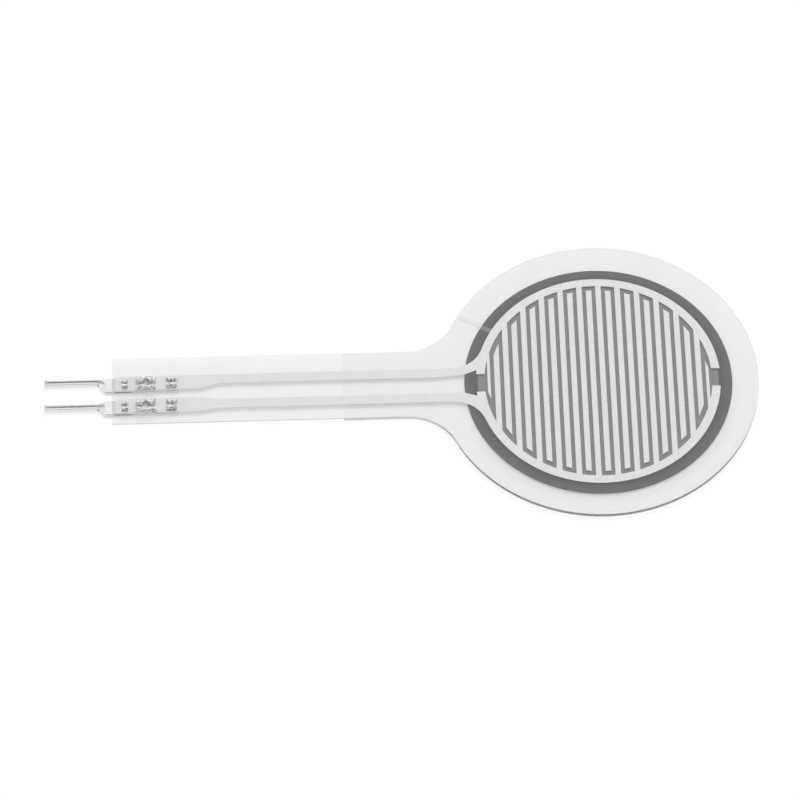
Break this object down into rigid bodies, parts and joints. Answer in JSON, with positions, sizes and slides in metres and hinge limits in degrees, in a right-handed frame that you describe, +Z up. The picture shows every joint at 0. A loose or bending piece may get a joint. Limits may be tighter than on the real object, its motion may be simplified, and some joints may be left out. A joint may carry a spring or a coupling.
{
  "type": "flexible pressure sensor",
  "caption": "Thin-film pressure sensor: round head with interleaved silver fingers over a carbon disc, narrow tail, crimped solder tabs.",
  "frame": {"origin": "middle of the round head, on the back face that lies on or is stuck to a surface", "axes": "+Z up out of the sensing face, +X from the tail to the head, +Y across the tail"},
  "size_m": [0.0612, 0.0274, 0.0008],
  "materials": {
    "clear_film": "clear polyester film, smooth",
    "clear_adhesive": "clear pressure-sensitive adhesive",
    "carbon_ink": "matt carbon-filled print",
    "silver_ink": "matt silver-filled print",
    "tinned_metal": "bright tin plate on stamped copper alloy"
  },
  "bodies": {
    "root": {"base_film": "clear_film", "carbon_pad": "carbon_ink", "spacer": "clear_adhesive", "silver_comb_left": "silver_ink", "silver_comb_right": "silver_ink", "top_film": "clear_film", "solder_tab_left": "tinned_metal", "solder_tab_right": "tinned_metal"}
  },
  "joints": []
}
